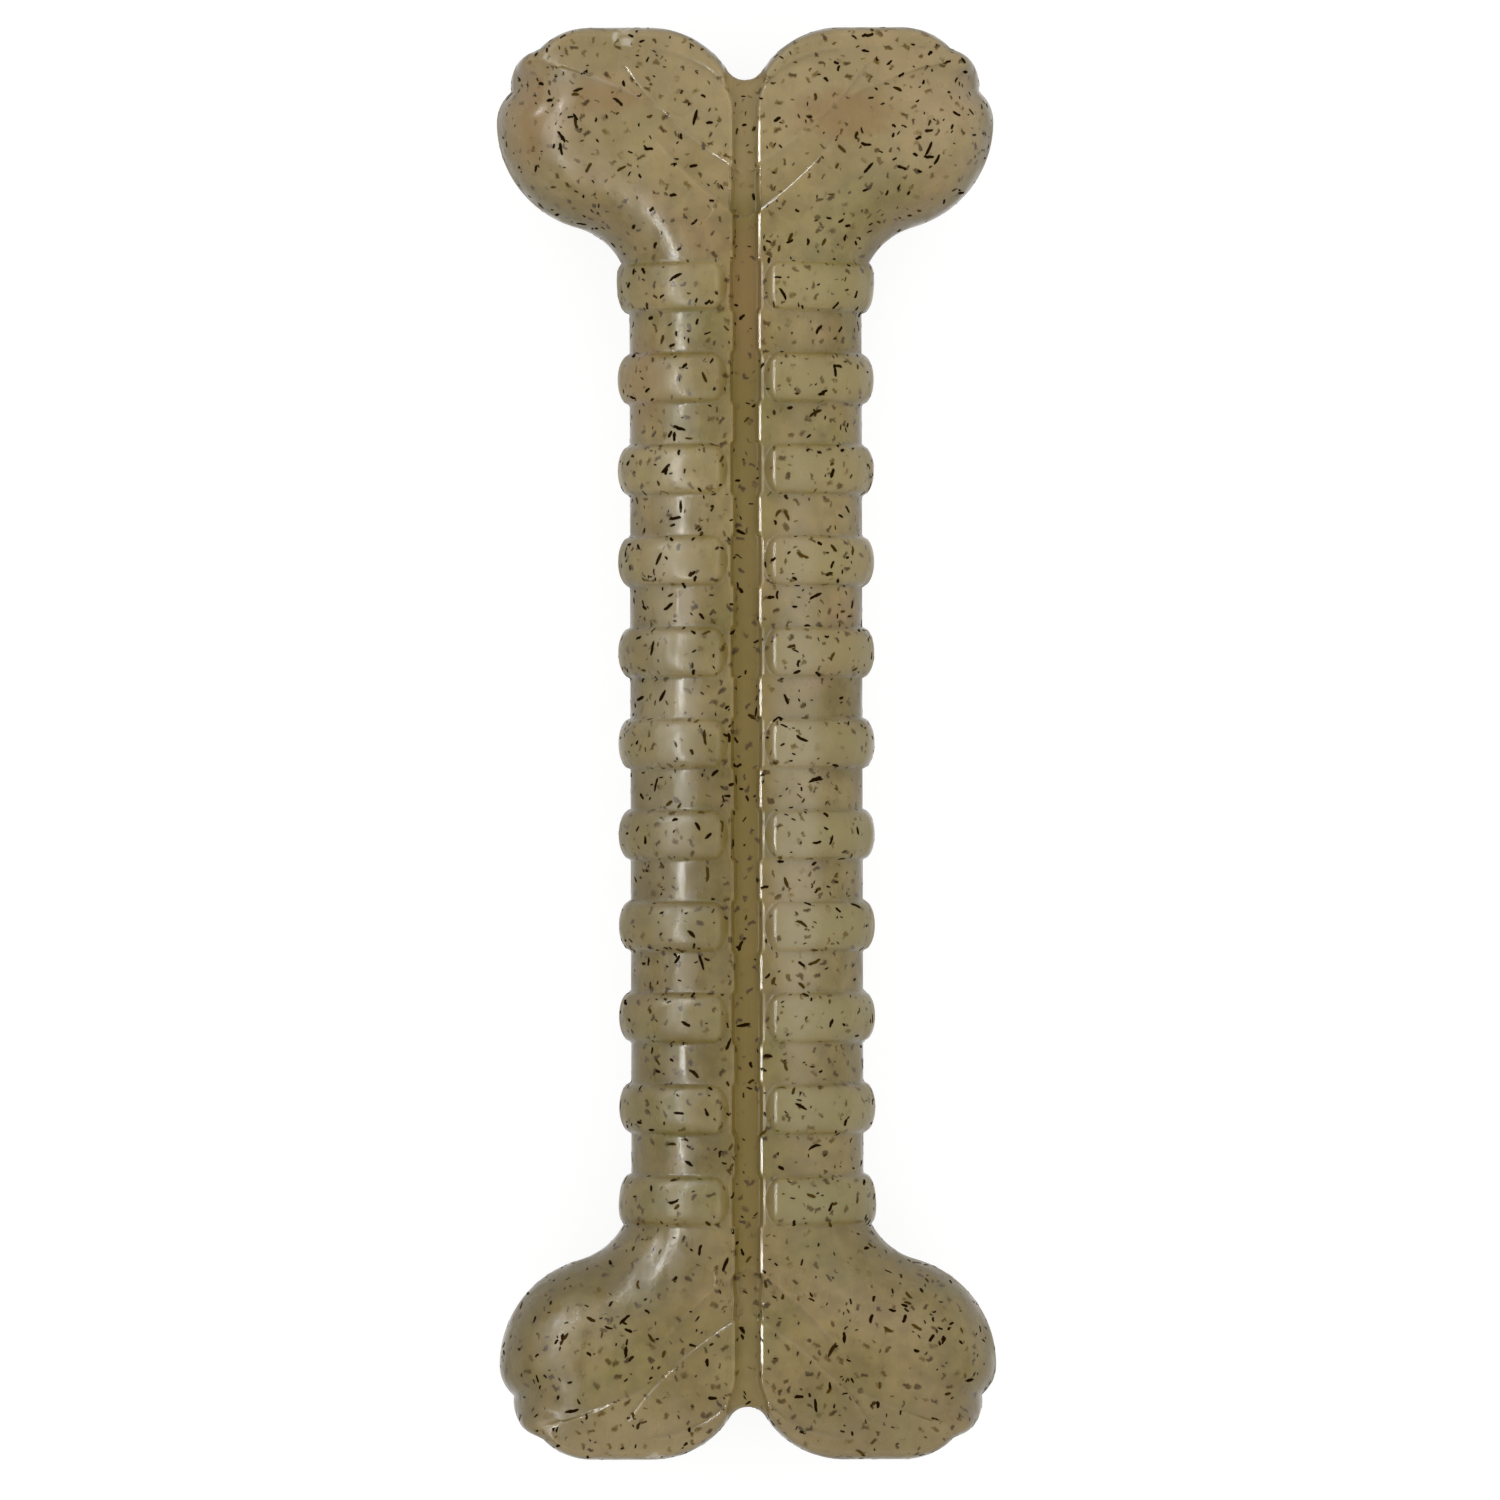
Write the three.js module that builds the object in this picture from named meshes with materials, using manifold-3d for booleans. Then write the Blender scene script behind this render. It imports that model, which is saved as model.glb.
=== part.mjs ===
// A chew bone moulded in one shot from nylon, with dark plant-fibre flecks set in its surface.
// X runs across the bone, Y along it and Z up. The bone lies on its four knuckles at Z = 0.
import * as THREE from "three";
import { mergeVertices } from "three/addons/utils/BufferGeometryUtils.js";
import Module from "manifold-3d";

const wasm = await Module();
wasm.setup();

// Sizes of the whole bone, in millimetres.
const LENGTH = 184;
const KNUCKLE_SPAN = 64.2;
const KNUCKLE_THICKNESS = 25.4;
const SHAFT_WIDTH = 30;
const SHAFT_THICKNESS = 21.4;

// Outline of one knuckle seen from above. A setback is measured in from the end of the bone,
// and an inset from its widest place towards the middle line.
const KNUCKLE_RADIUS = 14.1;
const KNUCKLE_SETBACK = 11.7;
const FLARE_RADIUS = 9.2;
const SHOULDER_RADIUS = 5;
const FINGER_RADIUS = 4.3;
const FINGER_SETBACK = 7;
const FINGER_INSET = 1.8;
const TIP_RADIUS = 9.3;
const TIP_INSET = 2.8;
const INNER_RADIUS = 12;
const NOTCH_RADIUS = 2.6;
const NOTCH_DEPTH = 6.7;

// Widths over which the edges are rounded: wide at the knuckle's side, narrow at the bone's ends and notches.
// The crown is flattened a little to rest on.
const KNUCKLE_ROUNDING = 13;
const END_ROUNDING = 3.25;
const CROWN_FLAT = 0.4;

// Channel along the middle line of both faces, from notch to notch.
const CHANNEL_WIDTH = 4;
const CHANNEL_WALL_RUN = 0.95;
const CHANNEL_DEPTH = 1;

// Ribs across both halves of the shaft. Each starts beside the channel and wraps round the side.
// A rib is domed: it falls off gently from its crest to its shoulders, then steeply to its base.
const RIB_PITCH = 11.75;
const RIB_BASE = 6.7;
const RIB_SHOULDERS = 4.4; // width from shoulder to shoulder
const RIB_SHOULDER_SHARE = 0.74; // part of the rib's height that still stands at a shoulder
const RIB_HEIGHT = 1.55;
const RIB_END_RUN = 1.5;

// Grooves between the fingers of a knuckle.
const GROOVE_WIDTH = 1.2;
const GROOVE_DEPTH = 0.6;
const GROOVE_LIFT = 1.2; // how far the wedge that cuts it stands clear of the face
const WRIST_GROOVE_SETBACK = 24.7;
const PALM_GROOVE_SETBACK = 19.4;
const TIP_GROOVE_SETBACK = 13;
const PALM_BEND = { inset: 12.1, setback: 1 };
const WRIST_BEND = { inset: 23.5, setback: 19 };
const TIP_BEND = { inset: 18.1, setback: 1.8 };
const WRIST_GROOVE_MEETS = 0.45; // how far along the palm groove the wrist groove joins it

// Flecks, each seated flush in its own pocket.
const FLECK_SHORTEST = 1.1;
const FLECK_LONGEST = 2.1;
const FLECK_WIDTH = 0.6;
const FLECK_DEPTH = 0.7;
const FLECK_CLEARANCE = 0.1;
const FLECK_SIDE_MARGIN = 3;
const FLECKS_PER_KNUCKLE = 4;
const FLECK_RING_RADIUS = 7;

// Fineness of the mesh.
const FACE_COLUMNS = 7;
const NECK_ROWS = 8;
const NOTCH_ROWS = 3;
const END_ROWS = 6;
const OUTLINE_STEPS = 240;
const GROOVE_STEP_LENGTH = 3.8;
const GROOVE_CROWDING = 1.9;
const SLOPE_STEP = 0.05;
const FLECK_HALF_SIDES = 3;
const MERGE_DISTANCE = 1e-4;

const GOLDEN_SHARE = (Math.sqrt(5) - 1) / 2;

const nylon = new THREE.MeshStandardMaterial({ color: 0x8c7c58, roughness: 0.38, metalness: 0 });
const fibre = new THREE.MeshStandardMaterial({ color: 0x2a1c0c, roughness: 0.6, metalness: 0 });

const bone = new THREE.Group();

// Places that follow from the sizes above, in the quarter where X and Y are positive.
const halfLength = LENGTH / 2;
const halfSpan = KNUCKLE_SPAN / 2;
const halfShaft = SHAFT_WIDTH / 2;
const midHeight = KNUCKLE_THICKNESS / 2;
const channelEdge = CHANNEL_WIDTH / 2;
const widestY = halfLength - KNUCKLE_SETBACK;
const notchY = halfLength - NOTCH_DEPTH;

const knuckle = { x: halfSpan - KNUCKLE_RADIUS, y: widestY, r: KNUCKLE_RADIUS };
const shoulder = { x: halfSpan - SHOULDER_RADIUS, y: widestY, r: SHOULDER_RADIUS };
const finger = {
  x: halfSpan - FINGER_INSET - FINGER_RADIUS,
  y: halfLength - FINGER_SETBACK,
  r: FINGER_RADIUS,
};
const tip = { x: halfSpan - TIP_INSET - TIP_RADIUS, y: halfLength - TIP_RADIUS, r: TIP_RADIUS };

// The notch's round bottom touches the knuckle's inner arc without a corner.
const notch = { x: 0, y: notchY + NOTCH_RADIUS, r: NOTCH_RADIUS };
const inner = {
  x: Math.sqrt((INNER_RADIUS + NOTCH_RADIUS) ** 2 - (notch.y - halfLength + INNER_RADIUS) ** 2),
  y: halfLength - INNER_RADIUS,
  r: INNER_RADIUS,
};
const notchMeetsInnerY = notch.y + ((inner.y - notch.y) * notch.r) / (notch.r + inner.r);

// The flare is hollow. It touches the shaft's side and the knuckle's outer arc without a corner.
const flareX = halfShaft + FLARE_RADIUS;
const flareReach = KNUCKLE_RADIUS + FLARE_RADIUS;
const flare = {
  x: flareX,
  y: widestY - Math.sqrt(flareReach ** 2 - (flareX - knuckle.x) ** 2),
  r: FLARE_RADIUS,
};
const flareEndY = flare.y + ((widestY - flare.y) * FLARE_RADIUS) / flareReach;

const ribsEachWay = Math.floor((flareEndY - RIB_BASE / 2) / RIB_PITCH);
const lastRibEnd = ribsEachWay * RIB_PITCH + RIB_BASE / 2;

// Half of a circle's width at a given y, or nothing where the circle doesn't reach.
function halfChord(circle, y) {
  return Math.sqrt(Math.max(0, circle.r ** 2 - (y - circle.y) ** 2));
}

function outerSide(circle, y) {
  const reaches = Math.abs(y - circle.y) <= circle.r + MERGE_DISTANCE;
  return reaches ? circle.x + halfChord(circle, y) : -Infinity;
}

// The bone's outer side at a distance y from its middle.
function outerX(y) {
  if (y <= flare.y) return halfShaft;
  if (y <= flareEndY) return flare.x - halfChord(flare, y);
  if (y <= widestY) return outerSide(knuckle, y);
  return Math.max(outerSide(shoulder, y), outerSide(finger, y), outerSide(tip, y));
}

// The side of the end notch, or the middle line where the two halves are one.
function innerX(y) {
  if (y <= notchY) return 0;
  if (y <= notchMeetsInnerY) return halfChord(notch, y);
  return inner.x - halfChord(inner, y);
}

// The outer meeting point of two circles of the outline, where a scallop lies.
function scallop(a, b) {
  const gap = Math.hypot(b.x - a.x, b.y - a.y);
  const along = (gap ** 2 + a.r ** 2 - b.r ** 2) / (2 * gap);
  const across = Math.sqrt(a.r ** 2 - along ** 2);
  const u = new THREE.Vector2(b.x - a.x, b.y - a.y).divideScalar(gap);
  const outward = new THREE.Vector2(u.y, -u.x).multiplyScalar(across);
  return new THREE.Vector2(a.x, a.y).addScaledVector(u, along).add(outward);
}

// One quarter of the outline, from the bottom of the notch round to the middle of the shaft.
// Each edge knows how many times more sharply the bone is rounded there than at the knuckle's side.
function outlineEdges() {
  const points = [];
  const endSharpness = KNUCKLE_ROUNDING / END_ROUNDING;
  for (let i = 0; i <= OUTLINE_STEPS; i++) {
    const y = notchY + (NOTCH_DEPTH * i) / OUTLINE_STEPS;
    points.push({ place: new THREE.Vector3(innerX(y), y, 0), sharpness: endSharpness });
  }
  for (let i = OUTLINE_STEPS; i >= 0; i--) {
    const y = (halfLength * i) / OUTLINE_STEPS;
    const nearEnd = THREE.MathUtils.smoothstep(y, finger.y, halfLength);
    const sharpness = THREE.MathUtils.lerp(1, endSharpness, nearEnd);
    points.push({ place: new THREE.Vector3(outerX(y), y, 0), sharpness });
  }
  return points.slice(1).map(({ place, sharpness }, i) => {
    return { line: new THREE.Line3(points[i].place, place), sharpness };
  });
}

const edges = outlineEdges();

// How far a place lies inside the outline, counted in steps that are shorter where the edge is sharper.
function depthInside(x, y) {
  const point = new THREE.Vector3(x, y, 0);
  const nearest = new THREE.Vector3();
  const depths = edges.map(({ line, sharpness }) => {
    return sharpness * line.closestPointToPoint(point, true, nearest).distanceTo(point);
  });
  return Math.min(...depths);
}

// 0 on the shaft, 1 on the knuckles and a smooth change along the flare.
function knuckleShare(y) {
  return THREE.MathUtils.smoothstep(y, flare.y, widestY);
}

function crownHeight(y) {
  return THREE.MathUtils.lerp(SHAFT_THICKNESS / 2, midHeight + CROWN_FLAT, knuckleShare(y));
}

// Height of the smooth face above the bone's middle plane: an elliptic edge, then a flat crown.
function faceHeight(x, y) {
  const width = THREE.MathUtils.lerp(halfShaft, KNUCKLE_ROUNDING, knuckleShare(y));
  const fall = 1 - Math.min(1, depthInside(x, y) / width);
  return Math.min(midHeight, crownHeight(y) * Math.sqrt(1 - fall ** 2));
}

// How much of a rib's full height stands at this y: 1 on its crest, less on its shoulders, 0 past its base.
function ribShare(y) {
  const fromCrest = Math.abs(y - RIB_PITCH * Math.round(y / RIB_PITCH));
  const shoulder = RIB_SHOULDERS / 2;
  const upFlank = THREE.MathUtils.mapLinear(fromCrest, RIB_BASE / 2, shoulder, 0, RIB_SHOULDER_SHARE);
  const upCrown = THREE.MathUtils.mapLinear(fromCrest, shoulder, 0, RIB_SHOULDER_SHARE, 1);
  return y > lastRibEnd ? 0 : Math.max(0, Math.min(upFlank, upCrown));
}

// How deep the channel is at a distance from the middle line: its floor is flat and its walls slope.
function channelCut(x) {
  return CHANNEL_DEPTH * THREE.MathUtils.clamp((channelEdge - x) / CHANNEL_WALL_RUN, 0, 1);
}

// How far a rib rises at this place. Its end slopes up from the channel's edge.
function ribRise(x, y) {
  const endShare = THREE.MathUtils.clamp((x - channelEdge) / RIB_END_RUN, 0, 1);
  return RIB_HEIGHT * endShare * ribShare(y);
}

// Distances from the middle line at which the channel and the ribs' ends change slope.
const slopeChanges = [0, channelEdge - CHANNEL_WALL_RUN, channelEdge, channelEdge + RIB_END_RUN];

function columnPlaces(y) {
  const places = slopeChanges.map((place) => innerX(y) + place);
  const start = places.at(-1);
  for (let i = 1; i <= FACE_COLUMNS; i++) {
    const share = Math.sin((Math.PI / 2) * (i / FACE_COLUMNS));
    places.push(start + (outerX(y) - start) * share);
  }
  return places;
}

// One row of points across the upper right quarter, from the middle line or notch to the side.
// Heights are above the bone's middle plane, and the outline itself lies in that plane.
function rowOfPoints(y) {
  const places = columnPlaces(y);
  return places.map((x, column) => {
    const onSide = column === places.length - 1;
    const onNotch = column === 0 && y >= notchY;
    const face = onSide || onNotch || y === halfLength ? 0 : faceHeight(x, y);
    const height = y < notchY ? face - Math.min(channelCut(x), face / 2) : face;
    const rise = ribRise(x, y);
    const outward = new THREE.Vector2(x / outerX(y) ** 2, height / crownHeight(y) ** 2).normalize();
    return new THREE.Vector3(x + outward.x * rise, y, height + outward.y * rise);
  });
}

// Where the rows lie, from the middle of the bone to its end.
function rowPlaces() {
  const places = [];
  for (let rib = 0; rib <= ribsEachWay; rib++) {
    const centre = rib * RIB_PITCH;
    const offsets = [-RIB_BASE / 2, -RIB_SHOULDERS / 2, 0, RIB_SHOULDERS / 2, RIB_BASE / 2];
    places.push(...offsets.map((offset) => centre + offset).filter((y) => y >= 0));
  }
  const neckEnd = notchY - END_ROUNDING;
  for (let i = 1; i <= NECK_ROWS; i++) {
    places.push(lastRibEnd + ((neckEnd - lastRibEnd) * i) / NECK_ROWS);
  }
  for (let i = 1; i <= NOTCH_ROWS; i++) {
    places.push(neckEnd + END_ROUNDING * Math.sin((Math.PI / 2) * (i / NOTCH_ROWS)));
  }
  for (let i = 1; i < END_ROWS; i++) {
    places.push(notchY + NOTCH_DEPTH * Math.sin((Math.PI / 2) * (i / END_ROWS)));
  }
  return [...places, halfLength];
}

// Two triangles for each square between one ring or row of points and the next.
function strip(before, after) {
  const triangles = [];
  for (let i = 1; i < before.length; i++) {
    triangles.push([before[i - 1], before[i], after[i]], [before[i - 1], after[i], after[i - 1]]);
  }
  return triangles;
}

// Triangles of the upper right quarter, moved to one of the eight mirrored places.
function mirrored(triangles, mirror) {
  const flipped = mirror.x * mirror.y * mirror.z < 0;
  const place = (point) => new THREE.Vector3(0, 0, midHeight).add(point.clone().multiply(mirror));
  return triangles.flatMap((triangle) => {
    const placed = triangle.map(place);
    return flipped ? placed.reverse() : placed;
  });
}

// The eight ways to mirror the upper right quarter.
const signs = [1, -1];
const planMirrors = signs.flatMap((x) => signs.map((y) => new THREE.Vector3(x, y, 1)));
const mirrors = planMirrors.flatMap((mirror) => signs.map((z) => mirror.clone().setZ(z)));

// The whole smooth body with its channel and ribs, as one closed surface.
function bodySurface() {
  const rows = rowPlaces().map(rowOfPoints);
  const triangles = rows.slice(1).flatMap((row, i) => strip(rows[i], row));
  return new THREE.BufferGeometry().setFromPoints(mirrors.flatMap((mirror) => mirrored(triangles, mirror)));
}

// A closed surface as a solid that can be joined and cut. Triangles without area are left out.
function solidFrom(geometry) {
  const bare = new THREE.BufferGeometry().setAttribute("position", geometry.getAttribute("position"));
  if (geometry.index) bare.setIndex(geometry.index);
  const merged = mergeVertices(bare, MERGE_DISTANCE);
  const corners = merged.index.array;
  const kept = [];
  for (let i = 0; i < corners.length; i += 3) {
    const triangle = [corners[i], corners[i + 1], corners[i + 2]];
    if (new Set(triangle).size === 3) kept.push(...triangle);
  }
  const vertProperties = new Float32Array(merged.getAttribute("position").array);
  return new wasm.Manifold(new wasm.Mesh({ numProp: 3, vertProperties, triVerts: new Uint32Array(kept) }));
}

function geometryFrom(solid) {
  const { vertProperties, triVerts } = solid.getMesh();
  const geometry = new THREE.BufferGeometry();
  geometry.setAttribute("position", new THREE.BufferAttribute(vertProperties, 3));
  geometry.setIndex(new THREE.BufferAttribute(triVerts, 1));
  geometry.computeVertexNormals();
  return geometry;
}

// The three grooves of the quarter, seen from above. Each starts in the channel.
function groovePaths() {
  const start = (setback) => new THREE.Vector2(0, halfLength - setback);
  const bend = ({ inset, setback }) => new THREE.Vector2(halfSpan - inset, halfLength - setback);
  const palm = new THREE.QuadraticBezierCurve(
    start(PALM_GROOVE_SETBACK),
    bend(PALM_BEND),
    scallop(shoulder, finger),
  );
  const tipGroove = new THREE.QuadraticBezierCurve(
    start(TIP_GROOVE_SETBACK),
    bend(TIP_BEND),
    scallop(finger, tip),
  );
  const wrist = new THREE.QuadraticBezierCurve(
    start(WRIST_GROOVE_SETBACK),
    bend(WRIST_BEND),
    palm.getPoint(WRIST_GROOVE_MEETS),
  );
  return [palm, tipGroove, wrist];
}

function faceNormal(x, y) {
  const slopeX = faceHeight(x + SLOPE_STEP, y) - faceHeight(x - SLOPE_STEP, y);
  const slopeY = faceHeight(x, y + SLOPE_STEP) - faceHeight(x, y - SLOPE_STEP);
  return new THREE.Vector3(-slopeX, -slopeY, 2 * SLOPE_STEP).normalize();
}

// A wedge that follows a path over the face, with closer steps where it runs down the side.
function grooveWedge(path) {
  const rings = [];
  const steps = Math.ceil(path.getLength() / GROOVE_STEP_LENGTH);
  const crestHalfWidth = (GROOVE_WIDTH / 2) * (1 + GROOVE_LIFT / GROOVE_DEPTH);
  for (let i = 0; i <= steps; i++) {
    const share = 1 - (1 - i / steps) ** GROOVE_CROWDING;
    const { x, y } = path.getPoint(share);
    const heading = path.getTangent(share);
    const onOutline = depthInside(x, y) < SLOPE_STEP;
    const normal = onOutline ? new THREE.Vector3(heading.x, heading.y, 0) : faceNormal(x, y);
    const across = new THREE.Vector3(-heading.y, heading.x, 0).multiplyScalar(crestHalfWidth);
    const onFace = new THREE.Vector3(x, y, onOutline ? 0 : faceHeight(x, y));
    const crest = onFace.clone().addScaledVector(normal, GROOVE_LIFT);
    const left = crest.clone().add(across);
    const right = crest.clone().sub(across);
    rings.push([right, onFace.addScaledVector(normal, -GROOVE_DEPTH), left, right]);
  }
  const ends = [rings[0].slice(0, 3).reverse(), rings.at(-1).slice(0, 3)];
  return [...ends, ...rings.slice(1).flatMap((ring, i) => strip(rings[i], ring))];
}

function cutGrooves(body) {
  let cut = body;
  for (const wedge of groovePaths().map(grooveWedge)) {
    for (const mirror of mirrors) {
      const cutter = new THREE.BufferGeometry().setFromPoints(mirrored(wedge, mirror));
      cut = cut.subtract(solidFrom(cutter));
    }
  }
  return cut;
}

// A number from 0 to 1 that belongs to a fleck's name and one use of it, so a fleck keeps its own shape
// when the bone gains or loses ribs. The numbers are spread without a repeat that the eye can find.
function spread(name, use) {
  const letters = [...`${name} ${use}`].map((letter) => letter.codePointAt(0));
  const sum = letters.reduce((total, code, place) => total + code * (place + 1), 0);
  return (sum * GOLDEN_SHARE) % 1;
}

// Where the flecks lie on the upper face: one on each rib, one in each gap and a few on each knuckle.
function fleckPlaces() {
  const places = [];
  const firstX = channelEdge + RIB_END_RUN + FLECK_LONGEST / 2;
  const lastX = halfShaft - FLECK_SIDE_MARGIN;
  const ribRoom = RIB_SHOULDERS - FLECK_LONGEST;
  const gapRoom = RIB_PITCH - RIB_BASE - FLECK_LONGEST;
  for (const [side, sign] of [["left", -1], ["right", 1]]) {
    const addOnShaft = (name, y, room) => {
      const x = sign * THREE.MathUtils.lerp(firstX, lastX, spread(name, "across"));
      places.push({ name, x, y: y + room * (spread(name, "along") - 0.5) });
    };
    for (let rib = -ribsEachWay; rib <= ribsEachWay; rib++) {
      addOnShaft(`fleck_rib_${side}_${rib + ribsEachWay + 1}`, rib * RIB_PITCH, ribRoom);
    }
    for (let gap = 1; gap <= 2 * ribsEachWay; gap++) {
      addOnShaft(`fleck_gap_${side}_${gap}`, (gap - ribsEachWay - 0.5) * RIB_PITCH, gapRoom);
    }
    for (const [end, way] of [["near", -1], ["far", 1]]) {
      for (let i = 1; i <= FLECKS_PER_KNUCKLE; i++) {
        const angle = -Math.PI * (i / (FLECKS_PER_KNUCKLE + 1));
        const x = sign * (knuckle.x + FLECK_RING_RADIUS * Math.cos(angle));
        const y = way * (knuckle.y + FLECK_RING_RADIUS * Math.sin(angle));
        places.push({ name: `fleck_${end}_${side}_knuckle_${i}`, x, y });
      }
    }
  }
  return places;
}

// A short sliver lying in the surface, or the pocket round it when grown by a clearance.
function sliver(frame, length, growth) {
  const outline = new THREE.Shape();
  outline.absellipse(0, 0, length / 2 + growth, FLECK_WIDTH / 2 + growth, 0, 2 * Math.PI);
  const geometry = new THREE.ExtrudeGeometry(outline, {
    depth: 2 * FLECK_DEPTH + growth,
    curveSegments: FLECK_HALF_SIDES,
    bevelEnabled: false,
  });
  geometry.translate(0, 0, -FLECK_DEPTH - growth);
  return solidFrom(geometry.applyMatrix4(frame));
}

// A frame on the face of the body below a place, turned about the face's normal.
function frameOnFace(target, place, turn) {
  const above = new THREE.Vector3(place.x, place.y, 2 * KNUCKLE_THICKNESS);
  const [hit] = new THREE.Raycaster(above, new THREE.Vector3(0, 0, -1)).intersectObject(target);
  const normal = hit.face.normal;
  const along = new THREE.Vector3(Math.cos(turn), Math.sin(turn), 0).projectOnPlane(normal).normalize();
  const across = new THREE.Vector3().crossVectors(normal, along);
  return new THREE.Matrix4().makeBasis(along, across, normal).setPosition(hit.point);
}

function addFlecks(body) {
  const target = new THREE.Mesh(geometryFrom(body), nylon);
  let pocketed = body;
  for (const place of fleckPlaces()) {
    const length = THREE.MathUtils.lerp(FLECK_SHORTEST, FLECK_LONGEST, spread(place.name, "length"));
    const frame = frameOnFace(target, place, Math.PI * spread(place.name, "turn"));
    const fleck = new THREE.Mesh(geometryFrom(sliver(frame, length, 0).intersect(body)), fibre.clone());
    fleck.name = place.name;
    bone.add(fleck);
    pocketed = pocketed.subtract(sliver(frame, length, FLECK_CLEARANCE));
  }
  return pocketed;
}

const grooved = cutGrooves(solidFrom(bodySurface()));
const body = new THREE.Mesh(geometryFrom(addFlecks(grooved)), nylon);
body.name = "nylon_body";
bone.add(body);

export default bone;
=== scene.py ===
"""Looks of a moulded nylon chew bone with plant-fibre flecks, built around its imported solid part.

X runs across the bone, Y along it and Z up, and the bone lies on its knuckles at Z = 0. Shapes are worked
out in millimetres, in the quarter where X and Y are positive and above the bone's middle plane,
and then mirrored.
"""

import math
from collections import namedtuple

import bmesh
import bpy
import numpy as np
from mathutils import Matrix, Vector


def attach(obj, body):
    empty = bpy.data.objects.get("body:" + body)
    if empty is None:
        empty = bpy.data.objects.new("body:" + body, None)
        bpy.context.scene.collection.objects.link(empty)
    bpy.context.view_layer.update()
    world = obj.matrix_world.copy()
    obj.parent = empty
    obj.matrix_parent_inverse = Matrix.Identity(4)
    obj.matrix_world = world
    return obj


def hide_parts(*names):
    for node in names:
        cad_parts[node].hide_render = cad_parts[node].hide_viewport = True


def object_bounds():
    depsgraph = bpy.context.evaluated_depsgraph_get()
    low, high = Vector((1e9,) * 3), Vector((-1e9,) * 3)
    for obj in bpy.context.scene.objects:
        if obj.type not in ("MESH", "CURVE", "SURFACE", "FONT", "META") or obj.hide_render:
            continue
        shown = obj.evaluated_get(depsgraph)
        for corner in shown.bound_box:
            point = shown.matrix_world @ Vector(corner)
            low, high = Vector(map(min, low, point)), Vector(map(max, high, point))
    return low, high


Circle = namedtuple("Circle", "x y r")
Lamp = namedtuple("Lamp", "azimuth lift distance length thickness")
Patch = namedtuple("Patch", "centre size colour fineness softness share")
Groove = namedtuple(
    "Groove", "start bend end wall_side wall slope depth start_share end_share far_polish near_polish"
)

MM = 0.001
RANDOM_SEED = 7

# Sizes of the whole bone.
LENGTH = 184.0
KNUCKLE_SPAN = 64.2
KNUCKLE_THICKNESS = 25.4
SHAFT_WIDTH = 30.0
SHAFT_THICKNESS = 21.4

# Outline of one knuckle seen from above. A setback is measured in from the end of the bone,
# and an inset from its widest place towards the middle line.
KNUCKLE_RADIUS = 14.1
KNUCKLE_SETBACK = 11.7
FLARE_RADIUS = 9.2
SHOULDER_RADIUS = 5.0
FINGER_RADIUS = 4.3
FINGER_SETBACK = 7.0
FINGER_INSET = 1.8
TIP_RADIUS = 9.3
TIP_INSET = 2.8
INNER_RADIUS = 12.0
NOTCH_RADIUS = 2.6
NOTCH_DEPTH = 6.7
KNUCKLE_ROUNDING = 13.0
END_ROUNDING = 3.25
SIDE_POWER = 2.0  # squareness of the rounding at the sides, where it is an ellipse
END_POWER = 6.0
NOTCH_SHARE_END = 1.5  # where the notch stops counting, as a share of how far the inner side reaches

# Channel along the middle line, with a worn edge above a steep wall. It flares where it meets the end notch.
CHANNEL_WIDTH = 4.0
CHANNEL_DEPTH = 1.0
CHANNEL_BEVEL = 0.35
CHANNEL_BEVEL_DROP = 0.209
KNUCKLE_BEVEL_DROP = 0.185  # less than on the shaft, because the face is level here
CHANNEL_WALL_RUN = 0.45
CHANNEL_FLARE = 1.0
CHANNEL_FLARE_RUN = 4.0

# Ribs across both halves of the shaft, domed and square-ended with round corners.
RIB_PITCH = 11.75
RIBS_EACH_WAY = 5
RIB_WIDTH = 6.7
RIB_HEIGHT = 1.55
RIB_INNER_END = 2.35
RIB_WALL_RUN = 0.95
RIB_CHAMFER = 0.35
RIB_CHAMFER_DROP = 0.273
RIB_CORNER = 1.8
RIB_CORNER_POWER = 4.0
RIB_DOME_POWER = 2.2
RIB_DOME_ROOT = 0.6
RIB_FOOT = 0.1  # the outermost share of the dome that is softened into the shaft
RIB_END_SHADE = 1.3  # how far painted shade, in the channel's brown, runs up the inner end of a rib
RIB_END_POLISH = 0.6

# Slow waves in which the surface sinks: the share of its height at most, and each wave's turn for a
# millimetre across, along and up, and where it starts.
SINK = 0.005
SINK_WAVES = ((0.21, 0.13, 0.0, 0.0), (-0.17, 0.09, 0.0, 1.3), (0.0, 0.31, 0.05, 0.0))

# Round marks of the pins that pushed the bone out of its mould.
PIN_RADIUS = 2.0
PIN_DEPTH = 0.12
PIN_EDGE = 0.3
PIN_PLACES = ((8.2, 82.0), (6.0, 68.8))

# Fineness of the surface and of the grid that its rounding is worked out on.
ROW_STEP = 0.3
NOTCH_APPROACH = 6.0
NOTCH_APPROACH_ROWS = 24
END_ROWS = 40
NEAR_BAND = 4.2
NEAR_STEP = 0.2
EDGE_COLUMNS = (-0.04, -0.02, 0.02, 0.04)  # how far the columns at a crisp edge lie from it
FAR_COLUMNS = 50
CROWDING_POWER = 5.0  # how late the far columns begin to crowd towards the side
FINE_REACH = 0.8  # how far from a crisp mark the surface is cut finer
FINE_CUTS = 2
OUTLINE_STEPS = 500
GRID_STEP = 0.3
GRID_MARGIN = 10.0
BLUR_WIDTHS = (0.0, 1.0, 2.0, 3.0)
BLUR_SHARE = 0.3  # width of the blur as a share of the depth inside the outline
WELD_DIGITS = 4  # points that agree to so many digits after the point are one
TINY = 1e-6

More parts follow.
